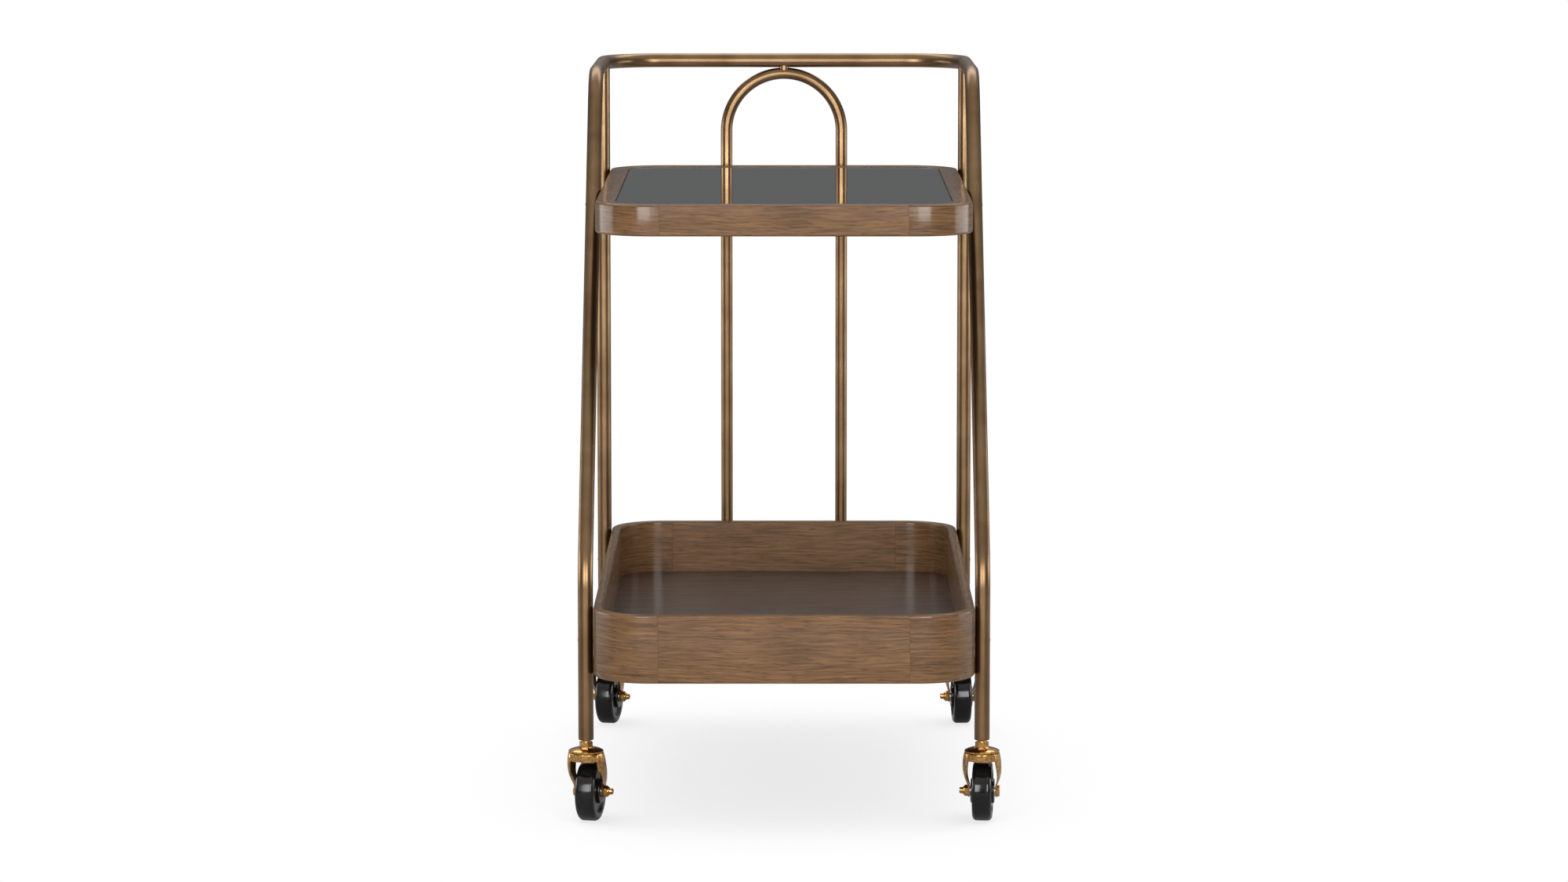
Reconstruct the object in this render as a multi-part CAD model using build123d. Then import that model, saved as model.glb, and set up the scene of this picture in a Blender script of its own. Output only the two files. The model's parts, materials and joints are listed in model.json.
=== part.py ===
"""Bar cart on wheels: a bent brass tube frame, two walnut trays and four swivel casters.

Millimetres, +Z up. The origin is on the floor, midway between the lower tray's front face and the
back of the push bar. The push bar is at the +Y end and +X is on the right when facing along +Y.
"""
from build123d import *
import math
import os
from collections import namedtuple

os.makedirs("parts", exist_ok=True)

# ----------------------------------------------------------------------------- frame sizes
cart_height = 924.4         # floor to the top of the push bar
leg_gauge = 494.0           # left leg to right leg, centre to centre
wheelbase = 700.0           # front legs to rear posts, centre to centre
post_setback = 90.0         # rear posts ahead of the push bar's centreline

tube_d = 19.05              # main tube, outer diameter
tube_wall = 1.5
tube_bend_r = 80.6          # centreline radius of every bend
knee_z = 322.0              # corner of the centreline where the front leg starts to lean back
lean_run = 436.3            # how far back the leaning stretch carries the leg

arch_tube_d = 15.88         # thinner tube of the arch behind the trays
arch_gauge = 158.7          # arch leg to arch leg, centre to centre
arch_standoff = 1.6         # arch legs behind the trays' rear faces
arch_tail = 10.0            # arch legs end this far above the lower tray's underside
arch_cap_h = 2.0            # visible thickness of the cap in the end of each arch leg
arch_cap_plug = 10.0        # how far the cap reaches into the tube
spacer_r = 5.5              # spacers between arch and trays
weld_root = 0.3             # space between arch and push bar, filled by the weld bead
weld_r = 6.5
weld_h = 9.0

# ----------------------------------------------------------------------------- tray sizes
tray_side_gap = 0.4         # between a tray's side and the tubes beside it
corner_block_x = 82.0       # length of a corner block along the tray's ends
corner_block_y = 100.0      # length of a corner block along the tray's sides
edge_round = 3.0            # rounding of the wooden outside edges

handle_rise = 144.0         # push bar's centreline above the upper tray's rim
upper_height = 39.4
upper_overhang = 270.0      # upper tray's front face ahead of the leaning legs
rim_width = 25.0            # wooden rim seen around the glass
rim_inner_round = 1.5
ledge_width = 10.0          # ledge that carries the deck panel
deck_t = 9.0
glass_t = 5.0
glass_recess = 1.2          # glass below the rim
glass_gap = 0.5             # around the glass
glass_bevel = 0.8

lower_rim_z = 275.4
lower_height = 85.6
lower_overhang = 79.5       # lower tray's front face ahead of the front legs
wall_t = 12.0
floor_rise = 15.9           # underside of the tray to the top of its floor panel
floor_t = 9.0
floor_rebate = 3.0          # the panel's edge is this much thinner, to sit in the groove
groove_depth = 5.0          # how far the floor panel reaches into the walls
panel_gap = 0.2             # around a panel in its groove or rebate

# ----------------------------------------------------------------------------- fasteners
bolt_head_r = 4.5
bolt_shank_r = 2.5
bolt_head_crown = 0.4       # bolt heads stand proud of the tube by this
insert_r = 4.0
insert_extra = 1.0          # insert deeper than the bolt
insert_cover = 2.0          # wood left between an insert and the inside of a wall

# ----------------------------------------------------------------------------- caster sizes
wheel_d = 75.0
tread_width = 24.4
tread_round = 3.5
rim_depth = 9.5             # tread face to the dished side
dish_depth = 3.0
hub_d = 31.0
hub_width = 29.6
hub_round = 1.2
trail = 22.0                # axle behind the swivel axis
bush_r = 6.5
axle_r = 3.95
running_clearance = 0.05    # all round in a turning fit
end_float = 0.2             # each end of the bush
hub_side_gap = 1.4          # hub to fork leg

crown_r = 21.8
crown_skirt = 9.5           # height of the fork crown's band
wheel_clearance = 5.9       # wheel's height to the bottom of that band
sheet_t = 2.2               # pressed sheet of crown and cap
leg_t = 2.0                 # fork leg thickness
fork_bulge_r = 24.0         # widest reach of the fork legs
fork_bulge_drop = 15.9      # widest place below the crown's band
fork_flat_rise = 7.5        # the legs are flat plates up to this height above the axle
fork_tip_r = 8.0            # round tip about the axle
fork_flat_half = 9.5        # half the width of a leg at the top of its flat plate
fork_waist_half = 11.5      # midway between plate and bulge
fork_waist_swell = 0.9      # how far the waist stands out of the straight line between them
fork_bulge_half = 14.0
fork_shoulder_half = 14.5
fork_shoulder_rise = 3.0    # shoulder above the bottom of the crown's band
fork_shoulder_out = 1.6     # and outside the crown
fork_wrap_half = 12.0       # where a leg wraps the crown
fork_wrap_out = 0.3
fork_top_drop = 0.3         # top of the legs below the top of the crown
fork_sag = {"shoulder": 5.0, "bulge": 3.2, "waist": 1.5}    # how far the edges curve inwards
fork_lean = {"shoulder": 0.05, "bulge": 0.36, "waist": 0.66, "flat": 0.91}  # shares of the trail
crown_round = 1.2
cap_gap = 0.6               # between crown and cap
cap_rim_h = 2.6
cap_h = 5.6
cap_edge = 0.8              # step from the cap's band to its dome
cap_swell = 0.6             # how far the dome stands out of a straight cone
cap_neck = 0.6              # flat ring round the hex collar's corners
nut_af = 15.0               # hex collar, across flats
nut_h = 7.2
stem_r = 5.0
stem_neck = 2.5             # bare stem between the hex collar and the leg
stem_reach = 26.0           # stem inside the leg
rivet_r = 8.0
rivet_h = 2.2
ball_r = 1.9
ball_pitch_r = 12.5
ball_count = 16
ball_clearance = 0.1
race_rise = 1.0             # ball centres above the crown
plug_length = 30.0
plug_flange = 1.5
plug_chamfer = 0.7
axle_head_t = 3.0
axle_nut_t = 6.5
axle_nut_af = 12.7
axle_tail = 4.5             # bolt end beyond the nut

# How far each caster is turned from straight, with its wheel trailing towards the push bar.
caster_turns = {"front_left": 12.0, "front_right": 5.0, "rear_left": 12.0, "rear_right": -3.0}

# ----------------------------------------------------------------------------- worked out
axle_z = wheel_d / 2
crown_z = wheel_d + wheel_clearance
crown_top_z = crown_z + crown_skirt
cap_z = crown_top_z + cap_gap
collar_z = cap_z + cap_h
leg_end_z = collar_z + nut_h + stem_neck    # bottom end of every leg

tube_r = tube_d / 2
tube_bore_r = tube_r - tube_wall
arch_tube_r = arch_tube_d / 2
arch_bore_r = arch_tube_r - tube_wall
bolt_grip = wall_t - insert_extra - insert_cover
cart_length = lower_overhang + wheelbase + post_setback + tube_r
leg_x = leg_gauge / 2
bar_y = cart_length / 2 - tube_r
bar_z = cart_height - tube_r
post_y = bar_y - post_setback
leg_y = post_y - wheelbase
shoulder_y = leg_y + lean_run

upper_rim_z = bar_z - handle_rise
upper_z = upper_rim_z - upper_height
lower_z = lower_rim_z - lower_height
upper_mid_z = upper_z + upper_height / 2
lower_mid_z = lower_z + lower_height / 2
lean_y = leg_y + lean_run * (upper_mid_z - knee_z) / (bar_z - knee_z)

tray_width = leg_gauge - tube_d - 2 * tray_side_gap
tray_rear_y = bar_y - arch_tube_r - arch_standoff
tray_corner_r = tube_bend_r - tube_r

arch_r = arch_gauge / 2
arch_top_z = bar_z - tube_r - weld_root - arch_tube_r
arch_centre_z = arch_top_z - arch_r
arch_end_z = lower_z + arch_tail

fork_seat = hub_width / 2 + hub_side_gap    # inner face of a fork leg beside the hub
fork_face = fork_seat + leg_t

Outline = namedtuple("Outline", "width front rear corner_r")
upper = Outline(tray_width, lean_y - upper_overhang, tray_rear_y, tray_corner_r)
lower = Outline(tray_width, leg_y - lower_overhang, tray_rear_y, tray_corner_r)

nodes = {}


# ----------------------------------------------------------------------------- shared shapes
def swept_bar(path, radius):
    """A round bar that follows a path."""
    return sweep(Plane(origin=path @ 0, z_dir=path % 0) * Circle(radius), path=path)


def standing_cylinder(radius, z_low, z_high):
    """A cylinder on the Z axis between two heights."""
    return Pos(0, 0, (z_low + z_high) / 2) * Cylinder(radius, z_high - z_low)


def box_between(low, high):
    """A box from its lowest corner to its highest."""
    size = [b - a for a, b in zip(low, high)]
    centre = [(a + b) / 2 for a, b in zip(low, high)]
    return Pos(*centre) * Box(*size)


def slab(outline, inset, z_low, z_high):
    """A tray's outline drawn in by an inset, as a flat slab."""
    length = outline.rear - outline.front
    middle = (outline.rear + outline.front) / 2
    face = RectangleRounded(outline.width - 2 * inset, length - 2 * inset, outline.corner_r - inset)
    return Pos(0, middle, z_low) * extrude(face, z_high - z_low)


def round_rims(frame, outer_r, inner_r):
    """Round a tray frame's outer edges, top and bottom, and its inner top edges."""
    top = frame.faces().sort_by(Axis.Z)[-1]
    frame = fillet(top.inner_wires()[0].edges(), inner_r)
    for end in (-1, 0):
        face = frame.faces().sort_by(Axis.Z)[end]
        frame = fillet(face.outer_wire().edges(), outer_r)
    return frame


def split_frame(frame, outline, prefix, straight):
    """Cut a tray frame at its seams into four corner blocks and four straight pieces."""
    half = outline.width / 2 + 1
    seam_x = outline.width / 2 - corner_block_x
    columns = {"left": (-half, -seam_x), "": (-seam_x, seam_x), "right": (seam_x, half)}
    rows = {
        "front": (outline.front - 1, outline.front + corner_block_y),
        "": (outline.front + corner_block_y, outline.rear - corner_block_y),
        "rear": (outline.rear - corner_block_y, outline.rear + 1),
    }
    for row, (y_low, y_high) in rows.items():
        for column, (x_low, x_high) in columns.items():
            if not row and not column:
                continue
            kind = "corner" if row and column else straight
            name = "_".join(word for word in (prefix, kind, row, column) if word)
            cell = box_between((x_low, y_low, 0), (x_high, y_high, cart_height))
            nodes[name] = frame & cell


# ----------------------------------------------------------------------------- fasteners
def tray_bolt(tube_radius, standoff):
    """A bolt along +Z from the tube's outer side, through the tube and into the wood.

    Z = 0 is the tube's outer side. The head is countersunk until its rim meets the round tube.
    """
    seat = tube_radius - math.sqrt(tube_radius**2 - bolt_head_r**2)
    shank_end = 2 * tube_radius + standoff + bolt_grip
    rise = seat + bolt_head_crown
    dome_r = (bolt_head_r**2 + rise**2) / (2 * rise)
    half_way = math.asin(bolt_head_r / dome_r) / 2
    shoulder = (dome_r * math.sin(half_way), dome_r * (1 - math.cos(half_way)) - bolt_head_crown)
    dome = ThreePointArc((bolt_head_r, seat), shoulder, (0, -bolt_head_crown))
    sides = Polyline(
        (0, -bolt_head_crown),
        (0, shank_end),
        (bolt_shank_r, shank_end),
        (bolt_shank_r, seat + bolt_head_r - bolt_shank_r),
        (bolt_head_r, seat),
    )
    return revolve(Plane.XZ * make_face(dome + sides), Axis.Z)


def insert_pocket(tube_radius, standoff):
    """The blind hole in the wood that an insert fills, in line with its bolt."""
    depth = bolt_grip + insert_extra
    return Pos(0, 0, 2 * tube_radius + standoff + depth / 2) * Cylinder(insert_r, depth)


def wood_insert(tube_radius, standoff):
    """The threaded insert that takes the bolt."""
    bore = Pos(0, 0, 2 * tube_radius + standoff + bolt_grip / 2) * Cylinder(bolt_shank_r, bolt_grip)
    return insert_pocket(tube_radius, standoff) - bore


side_places = [
    (leg_y, lower_mid_z),
    (post_y, lower_mid_z),
    (lean_y, upper_mid_z),
    (post_y, upper_mid_z),
]
side_planes = [
    Plane(origin=(side * (leg_x + tube_r), y, z), z_dir=(-side, 0, 0))
    for side in (-1, 1)
    for y, z in side_places
]
arch_planes = [
    Plane(origin=(side * arch_r, bar_y + arch_tube_r, z), z_dir=(0, -1, 0))
    for side in (-1, 1)
    for z in (lower_mid_z, upper_mid_z)
]
side_bolts = [plane * tray_bolt(tube_r, tray_side_gap) for plane in side_planes]
side_inserts = [plane * wood_insert(tube_r, tray_side_gap) for plane in side_planes]
arch_bolts = [plane * tray_bolt(arch_tube_r, arch_standoff) for plane in arch_planes]
arch_inserts = [plane * wood_insert(arch_tube_r, arch_standoff) for plane in arch_planes]
pockets = [plane * insert_pocket(tube_r, tray_side_gap) for plane in side_planes]
pockets += [plane * insert_pocket(arch_tube_r, arch_standoff) for plane in arch_planes]


# ----------------------------------------------------------------------------- tube frame
def main_path():
    """Centreline of the main tube: up the right leg, round the push bar and down the left leg."""
    right = [
        (leg_x, leg_y, leg_end_z + plug_flange),
        (leg_x, leg_y, knee_z),
        (leg_x, shoulder_y, bar_z),
        (leg_x, bar_y, bar_z),
    ]
    left = [(-x, y, z) for x, y, z in reversed(right)]
    return FilletPolyline(*right, *left, radius=tube_bend_r)


def arch_path():
    """Centreline of the arch: two straight legs and one half circle."""
    left, right = (-arch_r, bar_y, arch_centre_z), (arch_r, bar_y, arch_centre_z)
    bend = ThreePointArc(left, (0, bar_y, arch_top_z), right)
    return Line((-arch_r, bar_y, arch_end_z), left) + bend + Line(right, (arch_r, bar_y, arch_end_z))


def drilled(shape, bolts):
    """A shape with its bolts' holes cut in it."""
    for bolt in bolts:
        shape -= bolt
    return shape


def make_frame_tubes():
    """The bent main tube and the two rear posts, coped to fit under it. Returns the bar it is bent from."""
    main_bar = swept_bar(main_path(), tube_r)
    nodes["main_tube_frame"] = drilled(main_bar - swept_bar(main_path(), tube_bore_r), side_bolts)
    for name, side in (("left", -1), ("right", 1)):
        foot = leg_end_z + plug_flange
        post = standing_cylinder(tube_r, foot, bar_z) - standing_cylinder(tube_bore_r, foot, bar_z)
        side_run = Pos(0, 0, bar_z) * Rot(90, 0, 0) * Cylinder(tube_r, 2 * tube_d)
        place = Pos(side * leg_x, post_y, 0)
        nodes[f"rear_post_{name}"] = drilled(place * (post - side_run), side_bolts)
    return main_bar


def make_arch(main_bar):
    """The arch with its weld bead, the spacers that hold it off the trays, and its end caps."""
    arch_bar = swept_bar(arch_path(), arch_tube_r)
    nodes["arch_tube"] = drilled(arch_bar - swept_bar(arch_path(), arch_bore_r), arch_bolts)

    weld = Pos(0, bar_y, arch_top_z + arch_tube_r) * Cylinder(weld_r, weld_h)
    nodes["arch_weld"] = weld - main_bar - arch_bar

    spacers = []
    for side in (-1, 1):
        for z in (lower_mid_z, upper_mid_z):
            middle_y = (tray_rear_y + bar_y) / 2
            spacer = Rot(90, 0, 0) * Cylinder(spacer_r, bar_y - tray_rear_y)
            spacers.append(drilled(Pos(side * arch_r, middle_y, z) * spacer - arch_bar, arch_bolts))
    nodes["arch_spacers"] = Compound([spacer.solid() for spacer in spacers])

    disc = standing_cylinder(arch_tube_r, -arch_cap_h, 0)
    disc = fillet(disc.edges().sort_by(Axis.Z)[0], arch_cap_h * 0.7)
    cap = disc + standing_cylinder(arch_bore_r, 0, arch_cap_plug)
    caps = [Pos(side * arch_r, bar_y, arch_end_z) * cap for side in (-1, 1)]
    nodes["arch_end_caps"] = Compound([piece.solid() for piece in caps])


# ----------------------------------------------------------------------------- trays
def make_upper_tray():
    """Walnut rim frame around a deck panel that carries the inset glass."""
    glass_top = upper_rim_z - glass_recess
    deck_top = glass_top - glass_t
    ledge_top = deck_top - deck_t
    frame = slab(upper, 0, upper_z, upper_rim_z)
    frame -= slab(upper, rim_width + ledge_width, upper_z - 1, upper_rim_z + 1)
    frame -= slab(upper, rim_width, ledge_top, upper_rim_z + 1)
    frame = round_rims(frame, edge_round, rim_inner_round)
    for pocket in pockets:
        frame -= pocket
    split_frame(frame, upper, "upper_tray", "rail")
    nodes["upper_deck_panel"] = slab(upper, rim_width + panel_gap, ledge_top, deck_top)
    glass = slab(upper, rim_width + glass_gap, deck_top, glass_top)
    nodes["glass_top"] = chamfer(glass.faces().sort_by(Axis.Z)[-1].edges(), glass_bevel)


def make_lower_tray():
    """Deep walnut tray: thin walls with a floor panel held in a groove."""
    floor_top = lower_z + floor_rise
    floor_low, tongue_top = floor_top - floor_t, floor_top - floor_rebate
    frame = slab(lower, 0, lower_z, lower_rim_z)
    frame -= slab(lower, wall_t, lower_z - 1, lower_rim_z + 1)
    frame = round_rims(frame, edge_round, edge_round)
    frame -= slab(lower, wall_t - groove_depth, floor_low, tongue_top)
    for pocket in pockets:
        frame -= pocket
    split_frame(frame, lower, "lower_tray", "wall")
    tongue = slab(lower, wall_t - groove_depth + panel_gap, floor_low, tongue_top)
    nodes["lower_floor_panel"] = tongue + slab(lower, wall_t + panel_gap, tongue_top, floor_top)


# ----------------------------------------------------------------------------- casters
def hex_prism(across_flats, height):
    """A hexagonal nut blank standing on Z = 0, its outer corners eased."""
    blank = extrude(RegularPolygon(across_flats / 2, 6, major_radius=False), height)
    corner_r = across_flats / math.sqrt(3)
    ease = Pos(0, 0, height / 2) * Cylinder(corner_r * 0.985, height)
    return blank & chamfer(ease.edges().filter_by(GeomType.CIRCLE), corner_r * 0.09)


def make_stem():
    """Threaded stem, hex collar and kingpin with its riveted end, turned from one bar."""
    plate_bottom = crown_top_z - sheet_t
    stem = standing_cylinder(stem_r, plate_bottom - end_float, leg_end_z + stem_reach)
    stem += Pos(0, 0, collar_z) * hex_prism(nut_af, nut_h)
    rivet = standing_cylinder(rivet_r, plate_bottom - end_float - rivet_h, plate_bottom - end_float)
    return stem + fillet(rivet.edges().sort_by(Axis.Z)[0], rivet_h * 0.6)


def make_cap():
    """Domed top plate that covers the swivel bearing."""
    rim_z = cap_z + cap_rim_h
    neck_r = nut_af / math.sqrt(3) + cap_neck
    crest = ((crown_r + neck_r) / 2 + cap_swell, cap_z + cap_h * 0.82)
    outside = ThreePointArc((crown_r - cap_edge, rim_z), crest, (neck_r, collar_z))
    rim = Polyline((crown_r, cap_z), (crown_r, rim_z - cap_edge), (crown_r - cap_edge, rim_z))
    under_z = collar_z - sheet_t
    bore = Polyline((neck_r, collar_z), (stem_r, collar_z), (stem_r, under_z), (neck_r, under_z))
    inside = ThreePointArc(
        (neck_r, under_z), (ball_pitch_r + 3, cap_z + cap_h * 0.45), (crown_r - sheet_t, cap_z)
    )
    base = Line((crown_r - sheet_t, cap_z), (crown_r, cap_z))
    return revolve(Plane.XZ * make_face(outside + rim + bore + inside + base), Axis.Z)


def fork_section(z, reach, middle_y, half_width, sag):
    """Plan section of the right fork leg: a strip whose ends curve inwards by its sag."""
    low_y, high_y = middle_y - half_width, middle_y + half_width
    if sag:
        outer = ThreePointArc((reach - sag, low_y), (reach, middle_y), (reach - sag, high_y))
    else:
        outer = Line((reach, low_y), (reach, high_y))
    inner = Pos(-leg_t, 0) * outer
    ends = Line(outer @ 0, inner @ 0) + Line(outer @ 1, inner @ 1)
    return Pos(0, 0, z) * make_face(outer + inner + ends)


def make_fork_leg():
    """Right fork leg: bowed out from the crown, then a flat plate with a round tip at the axle."""
    wrap_r = crown_r + fork_wrap_out
    wrap_sag = wrap_r - math.sqrt(wrap_r**2 - fork_wrap_half**2)
    bulge_z, flat_z = crown_z - fork_bulge_drop, axle_z + fork_flat_rise
    waist_reach = (fork_bulge_r + fork_face) / 2 + fork_waist_swell
    middle_y = {level: trail * share for level, share in fork_lean.items()}
    sections = [
        fork_section(crown_top_z - fork_top_drop, wrap_r, 0, fork_wrap_half, wrap_sag),
        fork_section(
            crown_z + fork_shoulder_rise,
            crown_r + fork_shoulder_out,
            middle_y["shoulder"],
            fork_shoulder_half,
            fork_sag["shoulder"],
        ),
        fork_section(bulge_z, fork_bulge_r, middle_y["bulge"], fork_bulge_half, fork_sag["bulge"]),
        fork_section(
            (bulge_z + flat_z) / 2, waist_reach, middle_y["waist"], fork_waist_half, fork_sag["waist"]
        ),
        fork_section(flat_z, fork_face, middle_y["flat"], fork_flat_half, 0),
    ]
    plate_front, plate_back = middle_y["flat"] - fork_flat_half, middle_y["flat"] + fork_flat_half
    top_edge = Line((plate_front, flat_z), (plate_back, flat_z))
    tip = (Pos(trail, axle_z) * Circle(fork_tip_r)).edges()
    plate = Plane.YZ * make_hull([top_edge, *tip])
    return loft(sections) + Pos(fork_seat, 0, 0) * extrude(plate, leg_t)


def make_fork():
    """Pressed fork: a cup-shaped crown, bored for the kingpin and grooved for the balls, and two legs."""
    crown = standing_cylinder(crown_r, crown_z, crown_top_z)
    crown = fillet(crown.edges().sort_by(Axis.Z)[-1], crown_round)
    crown -= standing_cylinder(crown_r - sheet_t, crown_z - 1, crown_top_z - sheet_t)
    leg = make_fork_leg()
    fork = crown + leg + mirror(leg, about=Plane.YZ)
    fork -= standing_cylinder(stem_r + running_clearance, crown_z, crown_top_z + 1)
    fork -= Pos(0, 0, crown_top_z + race_rise) * Torus(ball_pitch_r, ball_r + ball_clearance)
    return fork - Pos(0, trail, axle_z) * Rot(0, 90, 0) * Cylinder(axle_r, 3 * crown_r)


def make_balls():
    """The ring of balls between crown and cap."""
    ball = Pos(ball_pitch_r, 0, crown_top_z + race_rise) * Sphere(ball_r)
    return [Rot(0, 0, 360 / ball_count * i) * ball for i in range(ball_count)]


def make_axle(nut_side):
    """Axle bolt, its head on the far side from the nut."""
    length = 2 * fork_face + axle_nut_t + axle_tail
    shank = Cylinder(axle_r, length, align=(Align.CENTER, Align.CENTER, Align.MIN))
    shank = chamfer(shank.edges().sort_by(Axis.Z)[-1], axle_r * 0.25)
    head = Pos(0, 0, -axle_head_t) * hex_prism(axle_nut_af, axle_head_t)
    bolt = Pos(0, 0, -fork_face) * (shank + head)
    return Pos(0, trail, axle_z) * Rot(0, 90 * nut_side, 0) * bolt


def make_axle_nut(nut_side):
    """Lock nut with a domed collar, on the bolt's tail."""
    dome = standing_cylinder(axle_nut_af * 0.44, 0, axle_nut_t)
    dome = fillet(dome.edges().sort_by(Axis.Z)[-1], axle_nut_t * 0.25)
    nut = hex_prism(axle_nut_af, axle_nut_t * 0.7) + dome - standing_cylinder(axle_r, -1, axle_nut_t + 1)
    return Pos(0, trail, axle_z) * Rot(0, 90 * nut_side, 0) * Pos(0, 0, fork_face) * nut


def make_wheel():
    """Moulded wheel with a crowned tread, dished sides and a raised hub."""
    half = tread_width / 2
    hub_half = hub_width / 2
    hub_r = hub_d / 2
    rim_r = axle_z - rim_depth
    wheel = Cylinder(axle_z, tread_width)
    wheel = fillet(wheel.edges().filter_by(GeomType.CIRCLE), tread_round)
    dish = Cylinder(rim_r, dish_depth) - Cylinder(hub_r, dish_depth)
    dish_z = half - dish_depth / 2
    wheel -= Pos(0, 0, dish_z) * dish
    wheel -= Pos(0, 0, -dish_z) * dish
    hub = Cylinder(hub_r, 2 * hub_half)
    wheel += fillet(hub.edges().filter_by(GeomType.CIRCLE), hub_round)
    wheel -= Cylinder(bush_r, 2 * hub_width)
    return Pos(0, trail, axle_z) * Rot(0, 90, 0) * wheel


def make_bush():
    """Sleeve pressed into the hub, running on the axle bolt."""
    length = 2 * (fork_seat - end_float)
    sleeve = Cylinder(bush_r, length) - Cylinder(axle_r + running_clearance, length)
    return Pos(0, trail, axle_z) * Rot(0, 90, 0) * sleeve


def make_leg_plug():
    """Plug in the end of a leg, bored for the caster's stem."""
    plug = standing_cylinder(tube_bore_r, leg_end_z, leg_end_z + plug_length)
    flange = standing_cylinder(tube_r, leg_end_z, leg_end_z + plug_flange)
    plug += chamfer(flange.edges().sort_by(Axis.Z)[0], plug_chamfer)
    return plug - standing_cylinder(stem_r, leg_end_z - 1, leg_end_z + stem_reach)


def make_casters():
    """Four casters, each turned about its own stem, and the plugs that hold them."""
    stem, cap, fork = make_stem(), make_cap(), make_fork()
    wheel, bush, plug, balls = make_wheel(), make_bush(), make_leg_plug(), make_balls()
    plugs, all_balls = [], []
    for corner, turn in caster_turns.items():
        end, side_name = corner.split("_")
        side = -1 if side_name == "left" else 1
        place = Pos(side * leg_x, leg_y if end == "front" else post_y, 0) * Rot(0, 0, -turn)
        nodes[f"{corner}_caster_stem"] = place * stem
        nodes[f"{corner}_caster_cap"] = place * cap
        nodes[f"{corner}_caster_fork"] = place * fork
        nodes[f"{corner}_axle_bolt"] = place * make_axle(-side)
        nodes[f"{corner}_axle_nut"] = place * make_axle_nut(-side)
        nodes[f"{corner}_wheel"] = place * wheel
        nodes[f"{corner}_wheel_bush"] = place * bush
        plugs.append((place * plug).solid())
        all_balls += [(place * ball).solid() for ball in balls]
    nodes["leg_plugs"] = Compound(plugs)
    nodes["swivel_balls"] = Compound(all_balls)


make_arch(make_frame_tubes())
make_upper_tray()
make_lower_tray()
make_casters()
nodes["tray_bolts"] = Compound([bolt.solid() for bolt in side_bolts + arch_bolts])
nodes["tray_inserts"] = Compound([insert.solid() for insert in side_inserts + arch_inserts])

for name, shape in nodes.items():
    export_step(shape, f"parts/{name}.step")
print(f"{len(nodes)} nodes, cart {cart_length:.1f} long, {cart_height:.1f} high")
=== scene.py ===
# %% [markdown]
# # A bar cart, piece by piece
# The cart is a loop of bent brass tube that holds two walnut trays and rolls on four casters. The
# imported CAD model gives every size. This file adds what the eye reads as material: swept tubes with
# handling wear, rounded wooden rims with grain that runs round the corners, a grey mirror, black
# wheels, and the studio around them.

# %% Load the frame
import json
import math
import bmesh
import bpy
from mathutils import Matrix, Vector


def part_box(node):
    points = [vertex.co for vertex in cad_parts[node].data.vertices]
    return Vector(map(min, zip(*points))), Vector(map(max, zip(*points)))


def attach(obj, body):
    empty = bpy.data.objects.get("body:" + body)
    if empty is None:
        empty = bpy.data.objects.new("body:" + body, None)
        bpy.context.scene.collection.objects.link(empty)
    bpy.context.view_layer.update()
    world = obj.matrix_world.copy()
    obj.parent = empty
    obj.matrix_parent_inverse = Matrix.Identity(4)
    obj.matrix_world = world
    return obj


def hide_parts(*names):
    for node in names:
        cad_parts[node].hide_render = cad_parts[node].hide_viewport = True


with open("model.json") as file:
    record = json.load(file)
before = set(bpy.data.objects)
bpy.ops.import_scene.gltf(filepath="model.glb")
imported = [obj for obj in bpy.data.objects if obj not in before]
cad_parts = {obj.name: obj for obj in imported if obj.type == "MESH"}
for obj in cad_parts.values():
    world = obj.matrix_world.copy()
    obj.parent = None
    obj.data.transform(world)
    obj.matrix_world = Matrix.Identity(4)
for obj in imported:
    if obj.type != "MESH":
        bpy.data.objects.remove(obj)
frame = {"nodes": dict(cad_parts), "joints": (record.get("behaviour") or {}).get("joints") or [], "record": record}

bpy.context.view_layer.update()

# %% [markdown]
# ## Three small tools
# Colours are easiest to read as sRGB hex, but a shader works in linear light, so one function
# turns one into the other. Node trees, for materials and for geometry, are long lists of nodes
# with a few settings and wires each. One helper adds a node and wires it in the same line, so the
# trees below read from top to bottom.

# %% Colour and node helpers
def linear(code):
    """An sRGB hex colour as linear RGBA, opaque."""
    parts = [int(code[i:i + 2], 16) / 255 for i in (0, 2, 4)]
    return tuple(c / 12.92 if c <= 0.04045 else ((c + 0.055) / 1.055) ** 2.4 for c in parts) + (1.0,)


def add(tree, kind, wires=None, **settings):
    """Add a node. Each wire is an input's name or number with a value or another node's output."""
    node = tree.nodes.new(kind)
    for name, value in settings.items():
        setattr(node, name, value)
    for socket, value in (wires or {}).items():
        if isinstance(value, bpy.types.NodeSocket):
            tree.links.new(value, node.inputs[socket])
        else:
            node.inputs[socket].default_value = value
    return node


def new_material(name):
    """An empty material and its tree."""
    material = bpy.data.materials.new(name)
    material.use_nodes = True
    material.node_tree.nodes.clear()
    return material, material.node_tree


print("white is", linear("ffffff"))

# %% [markdown]
# ## Brass tube
# The real finish is brass that was darkened chemically, then brushed back and lacquered. It gives
# the eye a brown metal with soft reflections, faint cloudy patches, and fine lines along the tube
# from the brushing. A metal's colour is its reflection, so all of that is base colour and
# roughness. The lines need to follow the bends, so the material reads the tube's own UV map, in
# metres: U runs along the tube and V runs round it.

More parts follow.
